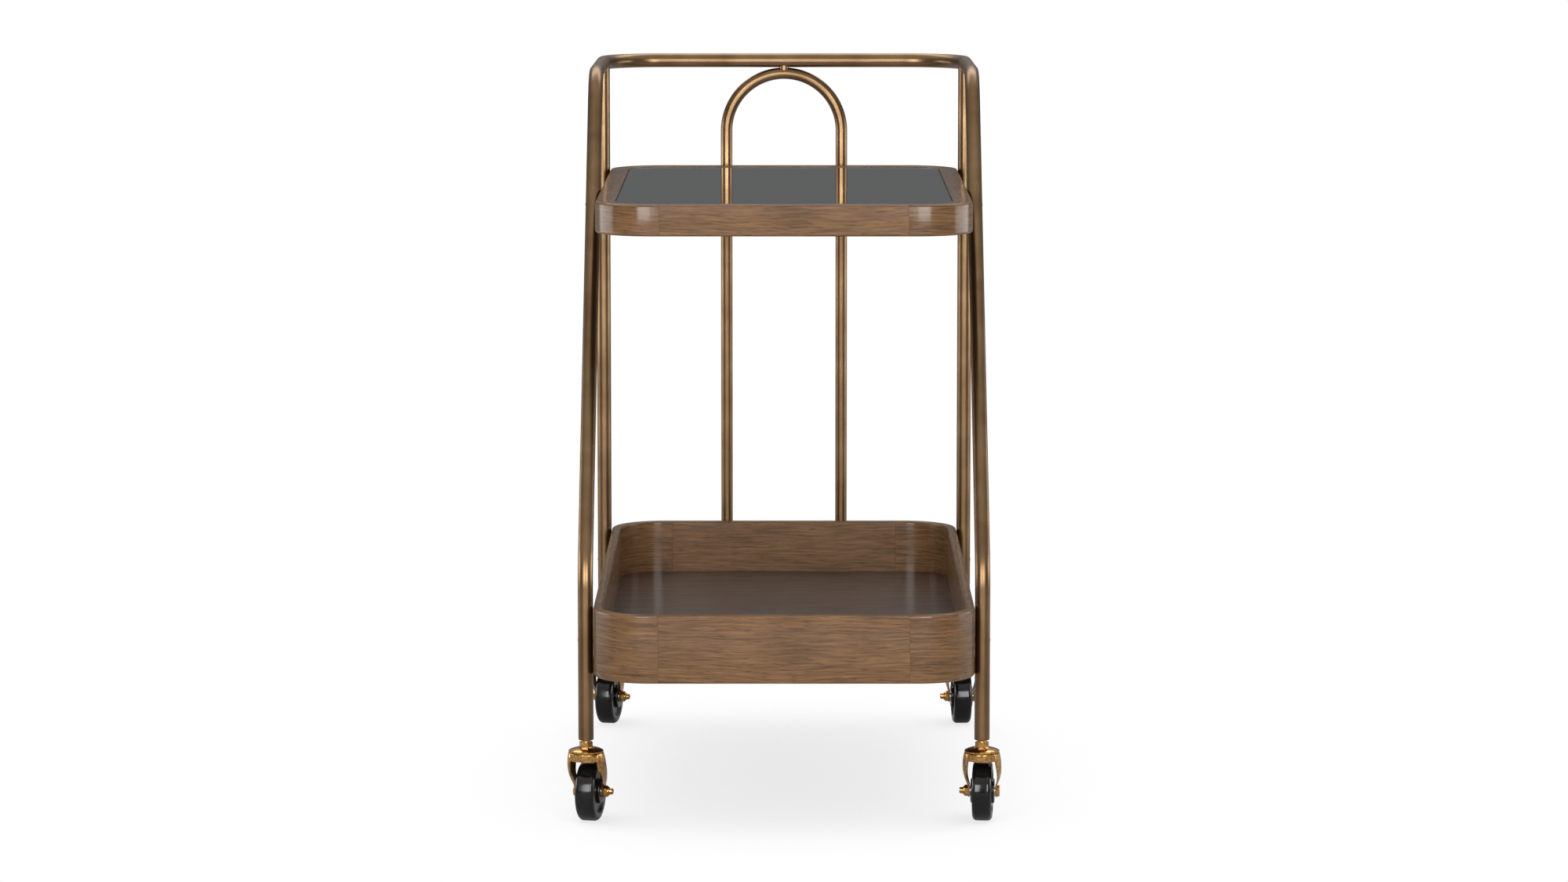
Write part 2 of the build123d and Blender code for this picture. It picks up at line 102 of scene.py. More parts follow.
# %% Antique brass material
cloud_mm = 45.0           # size of the cloudy patches
brush_mm = 3.2            # spacing of the brushed lines, drawn coarser than the real ones to show
brush_run_mm = 400.0      # length of a brushed line
antique_brass, tree = new_material("antique_brass_brushed_lacquered")
uv = add(tree, "ShaderNodeUVMap", uv_map="UVMap").outputs["UV"]
place = add(tree, "ShaderNodeTexCoord").outputs["Object"]
cloud = add(tree, "ShaderNodeTexNoise", {"Vector": place, "Scale": 1000 / cloud_mm, "Detail": 2.0})
along_and_round = (1000 / brush_run_mm, 1000 / brush_mm, 1.0)
stretched = add(tree, "ShaderNodeMapping", {"Vector": uv, "Scale": along_and_round})
brush = add(tree, "ShaderNodeTexNoise", {"Vector": stretched.outputs[0], "Scale": 1.0, "Detail": 2.0})
tone = add(
    tree, "ShaderNodeMath",
    {0: brush.outputs["Fac"], 1: 0.3, 2: cloud.outputs["Fac"]}, operation="MULTIPLY_ADD",
)
colour = add(tree, "ShaderNodeValToRGB", {"Fac": tone.outputs[0]})
darkest, lightest = colour.color_ramp.elements
darkest.position, darkest.color = 0.45, linear("654e37")
lightest.position, lightest.color = 0.95, linear("82694c")
rough = add(
    tree, "ShaderNodeMapRange",
    {"Value": tone.outputs[0], "From Min": 0.45, "From Max": 0.95, "To Min": 0.34, "To Max": 0.28},
)
metal = add(
    tree, "ShaderNodeBsdfPrincipled",
    {"Base Color": colour.outputs[0], "Metallic": 1.0, "Roughness": rough.outputs[0]},
)
add(tree, "ShaderNodeOutputMaterial", {"Surface": metal.outputs[0]})
print("made", antique_brass.name)

# %% [markdown]
# ## Polished caster brass
# The casters are pressed from sheet and plated a brighter gold. The sheet has soft ripples from
# the press and a little dulling, so the reflections wander.

# %% Polished brass material
ripple_mm, haze_mm = 7.0, 2.5
caster_brass, tree = new_material("polished_brass_plate")
place = add(tree, "ShaderNodeTexCoord").outputs["Object"]
ripple = add(tree, "ShaderNodeTexNoise", {"Vector": place, "Scale": 1000 / ripple_mm, "Detail": 3.0})
haze = add(tree, "ShaderNodeTexNoise", {"Vector": place, "Scale": 1000 / haze_mm, "Detail": 4.0})
colour = add(tree, "ShaderNodeValToRGB", {"Fac": haze.outputs["Fac"]})
darkest, lightest = colour.color_ramp.elements
darkest.position, darkest.color = 0.35, linear("96693a")
lightest.position, lightest.color = 0.62, linear("cfa163")
rough = add(
    tree, "ShaderNodeMapRange",
    {"Value": haze.outputs["Fac"], "From Min": 0.3, "From Max": 0.7, "To Min": 0.24, "To Max": 0.13},
)
bump = add(tree, "ShaderNodeBump", {"Height": ripple.outputs["Fac"], "Strength": 0.12, "Distance": 0.0006})
metal = add(
    tree, "ShaderNodeBsdfPrincipled",
    {
        "Base Color": colour.outputs[0], "Metallic": 1.0,
        "Roughness": rough.outputs[0], "Normal": bump.outputs[0],
    },
)
add(tree, "ShaderNodeOutputMaterial", {"Surface": metal.outputs[0]})
print("made", caster_brass.name)

# %% [markdown]
# ## Walnut
# The trays are solid walnut under a satin lacquer. Three scales make wood look real: broad bands
# of lighter and darker growth, fine fibres, and pores, which are short dark dashes a few
# millimetres long. Each is a noise squeezed across the grain and stretched along it. A clear coat
# stands for the lacquer. The frames read their UV map, so the grain runs round the corner blocks.
# The flat panels have no UV map, so they read Object coordinates turned to run along the tray. Their copy of the
# walnut is drawn darker than the frames': painted shade for the flat, upward faces that the lights barely reach.

# %% Walnut materials
grain_layers = (          # name, width across the grain and length along it in mm, detail
    ("growth", 16.0, 190.0, 3.0),
    ("fibre", 2.4, 55.0, 4.0),   # fibres and pores are drawn coarser than real ones, to show
    ("pore", 1.5, 18.0, 1.0),
)
drift_mm = 7.0            # how far the grain lines wander
drift_run_mm, drift_wide_mm = 110.0, 45.0
materials = {}
for name, source, dark, light in (
    ("walnut_frame_satin_lacquer", "UVMap", "452f19", "735335"),
    # the panel copy is darker walnut, painted shade on the flat, upward faces
    ("walnut_panel_satin_lacquer", "Object", "2e2018", "4a3527"),
):
    wood, tree = new_material(name)
    if source == "UVMap":
        grain = add(tree, "ShaderNodeUVMap", uv_map="UVMap").outputs["UV"]
    else:
        grain = add(tree, "ShaderNodeTexCoord").outputs["Object"]
    slow_scale = (1000 / drift_run_mm, 1000 / drift_wide_mm, 1000 / drift_wide_mm)
    slow = add(tree, "ShaderNodeMapping", {"Vector": grain, "Scale": slow_scale})
    drift = add(tree, "ShaderNodeTexNoise", {"Vector": slow.outputs[0], "Scale": 1.0, "Detail": 2.0})
    shift = add(
        tree, "ShaderNodeMath", {0: drift.outputs["Fac"], 1: 2 * drift_mm / 1000}, operation="MULTIPLY",
    )
    sideways = add(tree, "ShaderNodeCombineXYZ", {1: shift.outputs[0]})
    wandering = add(tree, "ShaderNodeVectorMath", {0: grain, 1: sideways.outputs[0]}, operation="ADD")
    layers = {}
    for layer, across_mm, along_mm, detail in grain_layers:
        layer_scale = (1000 / along_mm, 1000 / across_mm, 1000 / across_mm)
        scaled = add(tree, "ShaderNodeMapping", {"Vector": wandering.outputs[0], "Scale": layer_scale})
        noise = add(tree, "ShaderNodeTexNoise", {"Vector": scaled.outputs[0], "Scale": 1.0, "Detail": detail})
        layers[layer] = noise.outputs["Fac"]
    fibres = add(
        tree, "ShaderNodeMix", {0: 0.3, 2: layers["fibre"], 3: layers["growth"]}, data_type="FLOAT",
    ).outputs[0]
    body = add(tree, "ShaderNodeValToRGB", {"Fac": fibres})
    darkest, lightest = body.color_ramp.elements
    darkest.position, darkest.color = 0.34, linear(dark)
    lightest.position, lightest.color = 0.66, linear(light)
    pores = add(
        tree, "ShaderNodeMapRange", {"Value": layers["pore"], "From Min": 0.56, "From Max": 0.68},
    ).outputs[0]
    shade = add(tree, "ShaderNodeMath", {0: pores, 1: 0.5}, operation="MULTIPLY")
    colour = add(
        tree, "ShaderNodeMix",
        {0: shade.outputs[0], 6: body.outputs[0], 7: linear("281a10")}, data_type="RGBA",
    )
    rough = add(
        tree, "ShaderNodeMapRange",
        {"Value": fibres, "From Min": 0.35, "From Max": 0.65, "To Min": 0.52, "To Max": 0.42},
    )
    bump = add(
        tree, "ShaderNodeBump", {"Height": pores, "Strength": 0.3, "Distance": 0.00015}, invert=True,
    )
    surface = add(
        tree, "ShaderNodeBsdfPrincipled",
        {
            "Base Color": colour.outputs[2], "Roughness": rough.outputs[0], "Normal": bump.outputs[0],
            "IOR": 1.5, "Specular IOR Level": 0.12, "Coat Weight": 0.5, "Coat Roughness": 0.16,
        },
    )
    add(tree, "ShaderNodeOutputMaterial", {"Surface": surface.outputs[0]})
    materials[source] = wood
walnut_frame, walnut_panel = materials["UVMap"], materials["Object"]
print("made", walnut_frame.name, "and", walnut_panel.name)

# %% [markdown]
# ## Grey mirror, black wheels, zinc
# The tray's glass is a grey tinted mirror: what it shows is the dark space behind the cart. It
# carries a fine dust, which lifts the darkest reflections. The wheels are glossy black nylon with
# dust on the tread. The bushes, balls and inserts are zinc plated steel with a crystalline speckle.

# %% Mirror, wheel and zinc materials
glass_dust_mm, wheel_dust_mm, scuff_mm, crystal_mm = 1.6, 1.2, 14.0, 1.5
grey_mirror, tree = new_material("grey_tinted_mirror")
place = add(tree, "ShaderNodeTexCoord").outputs["Object"]
dust = add(tree, "ShaderNodeTexNoise", {"Vector": place, "Scale": 1000 / glass_dust_mm, "Detail": 3.0})
rough = add(
    tree, "ShaderNodeMapRange",
    {"Value": dust.outputs["Fac"], "From Min": 0.45, "From Max": 0.75, "To Min": 0.015, "To Max": 0.10},
)
colour = add(tree, "ShaderNodeValToRGB", {"Fac": dust.outputs["Fac"]})
darkest, lightest = colour.color_ramp.elements
darkest.position, darkest.color = 0.3, linear("d8dce4")
lightest.position, lightest.color = 0.7, linear("e6e9ef")
mirror = add(
    tree, "ShaderNodeBsdfPrincipled",
    {"Base Color": colour.outputs[0], "Metallic": 1.0, "Roughness": rough.outputs[0]},
)
add(tree, "ShaderNodeOutputMaterial", {"Surface": mirror.outputs[0]})

black_nylon, tree = new_material("glossy_black_nylon")
place = add(tree, "ShaderNodeTexCoord").outputs["Object"]
dust = add(
    tree, "ShaderNodeTexNoise",
    {"Vector": place, "Scale": 1000 / wheel_dust_mm, "Detail": 4.0, "Roughness": 0.7},
)
scuff = add(tree, "ShaderNodeTexNoise", {"Vector": place, "Scale": 1000 / scuff_mm, "Detail": 3.0})
colour = add(tree, "ShaderNodeValToRGB", {"Fac": dust.outputs["Fac"]})
darkest, lightest = colour.color_ramp.elements
darkest.position, darkest.color = 0.50, linear("0c0c0d")
lightest.position, lightest.color = 0.80, linear("1d1c1b")
rough = add(
    tree, "ShaderNodeMapRange",
    {"Value": scuff.outputs["Fac"], "From Min": 0.35, "From Max": 0.65, "To Min": 0.10, "To Max": 0.22},
)
bump = add(tree, "ShaderNodeBump", {"Height": dust.outputs["Fac"], "Strength": 0.05, "Distance": 0.0002})
nylon = add(
    tree, "ShaderNodeBsdfPrincipled",
    {
        "Base Color": colour.outputs[0], "Roughness": rough.outputs[0], "Normal": bump.outputs[0],
        "IOR": 1.5, "Specular IOR Level": 0.35,
    },
)
add(tree, "ShaderNodeOutputMaterial", {"Surface": nylon.outputs[0]})

zinc, tree = new_material("zinc_plated_steel")
place = add(tree, "ShaderNodeTexCoord").outputs["Object"]
crystal = add(tree, "ShaderNodeTexVoronoi", {"Vector": place, "Scale": 1000 / crystal_mm})
colour = add(tree, "ShaderNodeValToRGB", {"Fac": crystal.outputs["Color"]})
darkest, lightest = colour.color_ramp.elements
darkest.color, lightest.color = linear("b4b6b4"), linear("d2d3cf")
steel = add(
    tree, "ShaderNodeBsdfPrincipled", {"Base Color": colour.outputs[0], "Metallic": 1.0, "Roughness": 0.3},
)
add(tree, "ShaderNodeOutputMaterial", {"Surface": steel.outputs[0]})
print("made", grey_mirror.name, black_nylon.name, zinc.name)

# %% [markdown]
# ## One sweep for tubes, trays and wheels
# A bent tube, a rounded tray rim and a wheel are the same idea: a profile carried along a path
# whose corners are rounded. So one Geometry Nodes tree makes them all. It rounds the path's
# corners with Fillet Curve, rounds the profile's own corners by each point's radius, and joins
# them with Curve to Mesh. It also writes a UV map in metres from the two curve lengths. Where a
# closed profile comes back to its start, the length falls to zero, and the tree adds the whole
# turn back, so the pattern has no smeared strip.

# %% Build the sweep tree
sweep = bpy.data.node_groups.new("sweep_profile_along_path", "GeometryNodeTree")
for name, kind in (
    ("Geometry", "NodeSocketGeometry"),
    ("Profile", "NodeSocketObject"),
    ("Bend Radius", "NodeSocketFloat"),
    ("Bend Steps", "NodeSocketInt"),
    ("Edge Steps", "NodeSocketInt"),
    ("Grain Start", "NodeSocketFloat"),
    ("Finish", "NodeSocketMaterial"),
):
    sweep.interface.new_socket(name, in_out="INPUT", socket_type=kind)
sweep.interface.new_socket("Geometry", in_out="OUTPUT", socket_type="NodeSocketGeometry")
given = add(sweep, "NodeGroupInput").outputs
path = add(
    sweep, "GeometryNodeFilletCurve",
    {
        "Curve": given["Geometry"], "Radius": given["Bend Radius"],
        "Count": given["Bend Steps"], "Limit Radius": True,
    },
    mode="POLY",
)
profile_object = add(sweep, "GeometryNodeObjectInfo", {"Object": given["Profile"]})
own_radius = add(sweep, "GeometryNodeInputRadius").outputs[0]
profile = add(
    sweep, "GeometryNodeFilletCurve",
    {
        "Curve": profile_object.outputs["Geometry"], "Radius": own_radius,
        "Count": given["Edge Steps"], "Limit Radius": True,
    },
    mode="POLY",
)
even_path = add(sweep, "GeometryNodeSetCurveRadius", {"Curve": path.outputs[0], "Radius": 1.0})
travelled = add(sweep, "GeometryNodeSplineParameter").outputs["Length"]
kept_path = add(sweep, "GeometryNodeCaptureAttribute", {"Geometry": even_path.outputs[0]})
kept_path.capture_items.new("FLOAT", "along")
sweep.links.new(travelled, kept_path.inputs["along"])
kept_profile = add(sweep, "GeometryNodeCaptureAttribute", {"Geometry": profile.outputs[0]})
kept_profile.capture_items.new("FLOAT", "around")
sweep.links.new(travelled, kept_profile.inputs["around"])
swept = add(
    sweep, "GeometryNodeCurveToMesh",
    {"Curve": kept_path.outputs[0], "Profile Curve": kept_profile.outputs[0], "Fill Caps": True},
)
around = kept_profile.outputs["around"]
turn = add(sweep, "GeometryNodeCurveLength", {"Curve": profile.outputs[0]}).outputs["Length"]
middle = add(sweep, "GeometryNodeFieldOnDomain", {0: around}, data_type="FLOAT", domain="FACE").outputs[0]
quarter = add(sweep, "ShaderNodeMath", {0: turn, 1: 0.25}, operation="MULTIPLY").outputs[0]
far = add(sweep, "ShaderNodeMath", {0: middle, 1: quarter}, operation="GREATER_THAN").outputs[0]
at_start = add(sweep, "ShaderNodeMath", {0: around, 1: 1e-6}, operation="LESS_THAN").outputs[0]
wraps = add(sweep, "ShaderNodeMath", {0: far, 1: at_start}, operation="MULTIPLY").outputs[0]
whole = add(sweep, "ShaderNodeMath", {0: wraps, 1: turn, 2: around}, operation="MULTIPLY_ADD").outputs[0]
along = add(
    sweep, "ShaderNodeMath", {0: kept_path.outputs["along"], 1: given["Grain Start"]}, operation="ADD",
).outputs[0]
metres = add(sweep, "ShaderNodeCombineXYZ", {0: along, 1: whole}).outputs[0]
mapped = add(
    sweep, "GeometryNodeStoreNamedAttribute",
    {"Geometry": swept.outputs[0], "Name": "UVMap", 3: metres}, data_type="FLOAT2", domain="CORNER",
)
real = add(sweep, "GeometryNodeRealizeInstances", {"Geometry": mapped.outputs[0]})
finished = add(
    sweep, "GeometryNodeSetMaterial", {"Geometry": real.outputs[0], "Material": given["Finish"]},
)
add(sweep, "NodeGroupOutput", {"Geometry": finished.outputs[0]})
print("sweep tree has", len(sweep.nodes), "nodes")

# %% [markdown]
# ## From tree to finished piece
# A modifier is only a recipe, so each sweep is evaluated once and its result is kept as a plain
# mesh. The helper sets the tree's inputs by their identifiers, turns the faces outwards if the
# profile ran the other way, and marks the sharp edges. A piece then rides on the body that it
# belongs to and stands for the CAD node of the same shape.

# %% Sweep, place and plain-mesh helpers
sharp_angle = math.radians(40)
sockets = {item.name: item.identifier for item in sweep.interface.items_tree if item.in_out == "INPUT"}


def line_object(name, points, radii=None, closed=False, upright=False):
    """A curve object of straight runs through some points."""
    line = bpy.data.curves.new(name, "CURVE")
    line.dimensions = "3D"
    line.twist_mode = "Z_UP" if upright else "MINIMUM"
    spline = line.splines.new("POLY")
    spline.points.add(len(points) - 1)
    spline.use_cyclic_u = closed
    for i, point in enumerate(points):
        spline.points[i].co = (*point, 1.0)
        spline.points[i].radius = radii[i] if radii else 1.0
    holder = bpy.data.objects.new(name, line)
    bpy.context.scene.collection.objects.link(holder)
    return holder


def plain_mesh(holder, name):
    """The evaluated result of an object's modifiers as a new object with no modifiers."""
    seen = holder.evaluated_get(bpy.context.evaluated_depsgraph_get())
    mesh = bpy.data.meshes.new_from_object(seen)
    mesh.name = name
    bm = bmesh.new()
    bm.from_mesh(mesh)
    if bm.calc_volume(signed=True) < 0:
        bmesh.ops.reverse_faces(bm, faces=bm.faces)
    bm.to_mesh(mesh)
    bm.free()
    mesh.shade_smooth()
    mesh.set_sharp_from_angle(angle=sharp_angle)
    piece = bpy.data.objects.new(name, mesh)
    bpy.context.scene.collection.objects.link(piece)
    bpy.data.objects.remove(holder)
    return piece


def sweep_piece(
    name, points, profile, finish, bend_radius=0.0, bend_steps=1, edge_steps=1, grain_start=0.0,
    upright=False, closed=False,
):
    """Sweep a profile along straight runs with rounded corners, as a plain mesh."""
    holder = line_object(name + "_path", points, upright=upright, closed=closed)
    recipe = holder.modifiers.new("sweep", "NODES")
    recipe.node_group = sweep
    values = {
        "Profile": profile,
        "Bend Radius": bend_radius,
        "Bend Steps": bend_steps,
        "Edge Steps": edge_steps,
        "Grain Start": grain_start,
        "Finish": finish,
    }
    for label, value in values.items():
        recipe[sockets[label]] = value
    return plain_mesh(holder, name)


def ring(radius, sides):
    """Points evenly round a circle."""
    turns = [2 * math.pi * i / sides for i in range(sides)]
    return [(radius * math.cos(a), radius * math.sin(a), 0) for a in turns]


def ring_profile(name, radius, sides):
    """A closed round profile."""
    return line_object(name, ring(radius, sides), [0.0] * sides, closed=True)


# %% [markdown]
# ## The tube frame
# The main tube is one bar: up a front leg, back along a lean, level to the push bar, across, and
# down the other side. Its corners are rounded at one bend radius. The two rear posts are straight
# and butt up under the level runs. The arch is thinner tube, bent over in a half circle, which is
# two corners rounded at half the arch's width. All sizes come from the CAD nodes' boxes, apart
# from three that a box can't show: the height of the knee, the run of the lean and the bend.

# %% Sweep the four tubes
knee_z, lean_run, bend_r = 0.322, 0.4363, 0.0806
tube_sides, arch_sides, bend_steps, arch_steps = 56, 48, 24, 32
post_grain, arch_grain = 5.0, 9.0   # each tube shows another stretch of the brushing
lo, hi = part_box("main_tube_frame")
post_lo, post_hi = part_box("rear_post_right")
tube_r = (post_hi.x - post_lo.x) / 2
leg_x, leg_y, foot_z = hi.x - tube_r, lo.y + tube_r, lo.z
bar_y, bar_z = hi.y - tube_r, hi.z - tube_r
tube_ring = ring_profile("tube_ring", tube_r, tube_sides)
side = [
    (leg_x, leg_y, foot_z),
    (leg_x, leg_y, knee_z),
    (leg_x, leg_y + lean_run, bar_z),
    (leg_x, bar_y, bar_z),
]
loop = side + [(-x, y, z) for x, y, z in reversed(side)]
main_tube = sweep_piece("push_bar_and_legs", loop, tube_ring, antique_brass, bend_r, bend_steps)
cart_pieces = {"main_tube_frame": main_tube}
post_y = (post_lo.y + post_hi.y) / 2
for name, x in (("left", -leg_x), ("right", leg_x)):
    run = [(x, post_y, foot_z), (x, post_y, bar_z)]
    post = sweep_piece(
        f"rear_post_{name}_tube", run, tube_ring, antique_brass, grain_start=post_grain + x,
    )
    cart_pieces[f"rear_post_{name}"] = post
arch_lo, arch_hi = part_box("arch_tube")
arch_r = (arch_hi.y - arch_lo.y) / 2
arch_x, arch_y = arch_hi.x - arch_r, (arch_lo.y + arch_hi.y) / 2
arch_ring = ring_profile("arch_ring", arch_r, arch_sides)
arch_top = arch_hi.z - arch_r
hoop = [
    (-arch_x, arch_y, arch_lo.z),
    (-arch_x, arch_y, arch_top),
    (arch_x, arch_y, arch_top),
    (arch_x, arch_y, arch_lo.z),
]
cart_pieces["arch_tube"] = sweep_piece(
    "arch_hoop", hoop, arch_ring, antique_brass, arch_x, arch_steps, grain_start=arch_grain,
)
for node, piece in cart_pieces.items():
    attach(piece, "cart")
    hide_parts(node)
    print(piece.name, len(piece.data.polygons), "faces")

# %% [markdown]
# ## The tray frames
# Each tray is four rounded corner blocks and four straight lengths, glued end to end. Seen from
# above, every piece is the same profile carried along part of one rounded rectangle, clockwise so
# that the profile's own X points into the tray and its Y points down. The upper profile is a rim
# with a ledge inside for the panel; the lower one is a plain wall. A hair's width of bevel at each
# end of a piece leaves the fine dark line seen at the glued joints.

# %% Sweep sixteen rim pieces
edge_r, inner_r, rim_w, ledge_w = 0.003, 0.0015, 0.025, 0.010
wall_w = 0.012
glue_bevel, bevel_angle = 0.00025, math.radians(60)
corner_r = bend_r - tube_r
corner_steps, edge_steps = 20, 5
grain_step = 3.7          # each piece is cut from another stretch of board
outline_start = 0.020     # across the rim's underside, where the seam of its pattern is hidden


def rim_pieces(prefix, straight, profile):
    """Eight pieces of one tray's frame, from the boxes of its CAD nodes."""
    front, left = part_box(f"{prefix}_{straight}_front"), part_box(f"{prefix}_{straight}_left")
    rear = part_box(f"{prefix}_{straight}_rear")
    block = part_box(f"{prefix}_corner_front_left")
    x, seam_x, top = -left[0].x, -block[1].x, front[1].z
    y0, y1 = front[0].y, rear[1].y
    reach_y = block[1].y - y0
    runs = {
        f"{straight}_front": [(seam_x, y0), (-seam_x, y0)],
        "corner_front_left": [(-seam_x, y0), (-x, y0), (-x, y0 + reach_y)],
        f"{straight}_left": [(-x, y0 + reach_y), (-x, y1 - reach_y)],
        "corner_rear_left": [(-x, y1 - reach_y), (-x, y1), (-seam_x, y1)],
        f"{straight}_rear": [(-seam_x, y1), (seam_x, y1)],
        "corner_rear_right": [(seam_x, y1), (x, y1), (x, y1 - reach_y)],
        f"{straight}_right": [(x, y1 - reach_y), (x, y0 + reach_y)],
        "corner_front_right": [(x, y0 + reach_y), (x, y0), (seam_x, y0)],
    }
    for i, (place_name, run) in enumerate(runs.items()):
        node = f"{prefix}_{place_name}"
        points = [(px, py, top) for px, py in run]
        piece = sweep_piece(
            node + "_walnut", points, profile, walnut_frame, corner_r, corner_steps, edge_steps,
            grain_step * i + len(prefix), upright=True,
        )
        joint = piece.modifiers.new("glued joint", "BEVEL")
        joint.width, joint.segments = glue_bevel, 2
        joint.limit_method, joint.angle_limit = "ANGLE", bevel_angle
        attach(piece, "cart")
        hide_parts(node)
    print(prefix, "has", len(runs), "pieces, top at", round(top, 4))


deck_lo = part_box("upper_deck_panel")[0]
upper_lo, upper_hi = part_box("upper_tray_rail_front")
tall, ledge = upper_hi.z - upper_lo.z, upper_hi.z - deck_lo.z
ledge_x = rim_w + ledge_w
upper_outline = [
    (outline_start, tall, 0), (0, tall, 0), (0, 0, 0), (rim_w, 0, 0),
    (rim_w, ledge, 0), (ledge_x, ledge, 0), (ledge_x, tall, 0),
]
upper_rounds = [0, edge_r, edge_r, inner_r, 0, 0, 0]
upper_profile = line_object("upper_rim_profile", upper_outline, upper_rounds, closed=True)
rim_pieces("upper_tray", "rail", upper_profile)
lower_lo, lower_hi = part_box("lower_tray_wall_front")
tall = lower_hi.z - lower_lo.z
lower_outline = [(wall_w / 2, tall, 0), (0, tall, 0), (0, 0, 0), (wall_w, 0, 0), (wall_w, tall, 0)]
lower_rounds = [0, edge_r, edge_r, edge_r, 0]
lower_profile = line_object("lower_wall_profile", lower_outline, lower_rounds, closed=True)
rim_pieces("lower_tray", "wall", lower_profile)

# %% [markdown]
# ## The wheels
# A wheel is the same sweep again: the section of the tyre and its dished sides, carried round the
# axle. The moulded tread has a full, soft shoulder, which is what draws the upright glints on it.
# The wheel's place, turn and size come from its CAD node and from the axle of its rolling joint.

# %% Sweep the four wheels
tread_w, hub_w = 0.0244, 0.0296
rim_r, hub_r, bore_r = 0.028, 0.0155, 0.0065
dish_depth, dish_slope = 0.003, 0.004
shoulder_round, dish_round, hub_round = 0.0055, 0.0015, 0.0012
wheel_steps, shoulder_steps = 96, 8
half, hub_half = tread_w / 2, hub_w / 2
side_outline = [
    (rim_r, half), (rim_r - dish_slope, half - dish_depth), (hub_r, half - dish_depth),
    (hub_r, hub_half), (bore_r, hub_half),
]
side_rounds = [dish_round, dish_round, dish_round, hub_round, 0.0]
for joint in frame["joints"]:
    if not joint["name"].endswith("_roll"):
        continue
    corner = joint["name"].removesuffix("_wheel_roll")
    low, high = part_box(f"{corner}_wheel")
    wheel_r, centre = (high.z - low.z) / 2, (low + high) / 2
    section = [(wheel_r, -half), (wheel_r, half)] + side_outline
    section += [(r, -w) for r, w in reversed(side_outline)]
    rounds = [shoulder_round, shoulder_round] + side_rounds + side_rounds[::-1]
    middle = (wheel_r + bore_r) / 2
    tyre_points = [(r - middle, w, 0) for r, w in section]
    tyre = line_object(f"{corner}_tyre_section", tyre_points, rounds, closed=True)
    wheel = sweep_piece(
        f"{corner}_moulded_wheel", ring(middle, wheel_steps), tyre, black_nylon,
        edge_steps=shoulder_steps, upright=True, closed=True,
    )
    onto_axle = Vector(joint["axis"]).normalized().to_track_quat("Z", "Y").to_matrix().to_4x4()
    wheel.data.transform(Matrix.Translation(centre) @ onto_axle)
    bpy.data.objects.remove(tyre)
    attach(wheel, f"{corner}_roller")
    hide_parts(f"{corner}_wheel")
    print(wheel.name, len(wheel.data.polygons), "faces")

# %% [markdown]
# ## Finishes on the CAD nodes
# The panels, the glass and the metal parts of the casters are already the right shape with smooth
# normals, so they stay and take their materials on their own slots.

# %% Give the CAD nodes their materials
finish_of = {
    "antique_brass_tube": antique_brass,
    "polished_caster_brass": caster_brass,
    "walnut_frame": walnut_panel,
    "walnut_panel": walnut_panel,
    "grey_mirror_glass": grey_mirror,
    "black_wheel": black_nylon,
    "zinc_hardware": zinc,
}
for part in frame["record"]["subparts"]:
    node = frame["nodes"][part["node"]]
    for holder in node.material_slots:
        holder.material = finish_of[part["material_slot"]]
print("finished", len(frame["nodes"]), "CAD nodes")

for helper in (tube_ring, arch_ring, upper_profile, lower_profile):
    bpy.data.objects.remove(helper)

# %% [markdown]
# ## Studio
# The cart stands on a floor that glows white to the camera instead of being lit. A soft shadow under the cart is
# painted into that glow from ambient occlusion, and away from the cart the floor fades to pure white. Polished
# metal is painted by what stands round it, so the room is built for the reflections: a dim room, two tall
# softboxes either side of the camera, which draw the pale upright bands on tubes and corner blocks, a low wide box
# at each side, and a wide one above and behind, which brightens the top of the push bar. The floor looks white to
# the eye but is darker in reflections, as the low lights of such a studio leave it. The ceiling is brighter to
# reflections than it is as a light, so the tops of the tubes shine and the trays stay brown.

# %% Floor
floor_white, tree = new_material("glowing_floor_painted_shadow")
place = add(tree, "ShaderNodeTexCoord").outputs["Object"]
reach = add(tree, "ShaderNodeMapping", {"Vector": place, "Scale": (1.0, 0.8, 1.0)})
away = add(tree, "ShaderNodeVectorMath", {0: reach.outputs[0]}, operation="LENGTH").outputs["Value"]
fade = add(
    tree, "ShaderNodeMapRange",
    {"Value": away, "From Min": 0.5, "From Max": 0.9}, interpolation_type="SMOOTHSTEP",
).outputs[0]
# painted shadow: the floor's glow dims where ambient occlusion finds the cart above it
painted_shadow_ao = add(tree, "ShaderNodeAmbientOcclusion", {"Distance": 0.45}, samples=6).outputs["AO"]
shade = add(
    tree, "ShaderNodeMapRange",
    {"Value": painted_shadow_ao, "From Min": 0.3, "From Max": 0.72, "To Min": 0.79, "To Max": 1.0},
).outputs[0]
level = add(tree, "ShaderNodeMix", {0: fade, 2: shade, 3: 1.0}, data_type="FLOAT").outputs[0]
white = add(tree, "ShaderNodeEmission", {"Strength": level})
dim = add(tree, "ShaderNodeBsdfDiffuse", {"Color": linear("cccccc")})
seen = add(tree, "ShaderNodeLightPath").outputs["Is Camera Ray"]
both = add(tree, "ShaderNodeMixShader", {0: seen, 1: dim.outputs[0], 2: white.outputs[0]})
add(tree, "ShaderNodeOutputMaterial", {"Surface": both.outputs[0]})
floor_half = 40.0
corners = [(x * floor_half, y * floor_half, 0) for x, y in ((-1, -1), (1, -1), (1, 1), (-1, 1))]
mesh = bpy.data.meshes.new("floor")
mesh.from_pydata(corners, [], [(0, 1, 2, 3)])
mesh.materials.append(floor_white)
floor = bpy.data.objects.new("floor", mesh)
bpy.context.scene.collection.objects.link(floor)
print("floor laid")


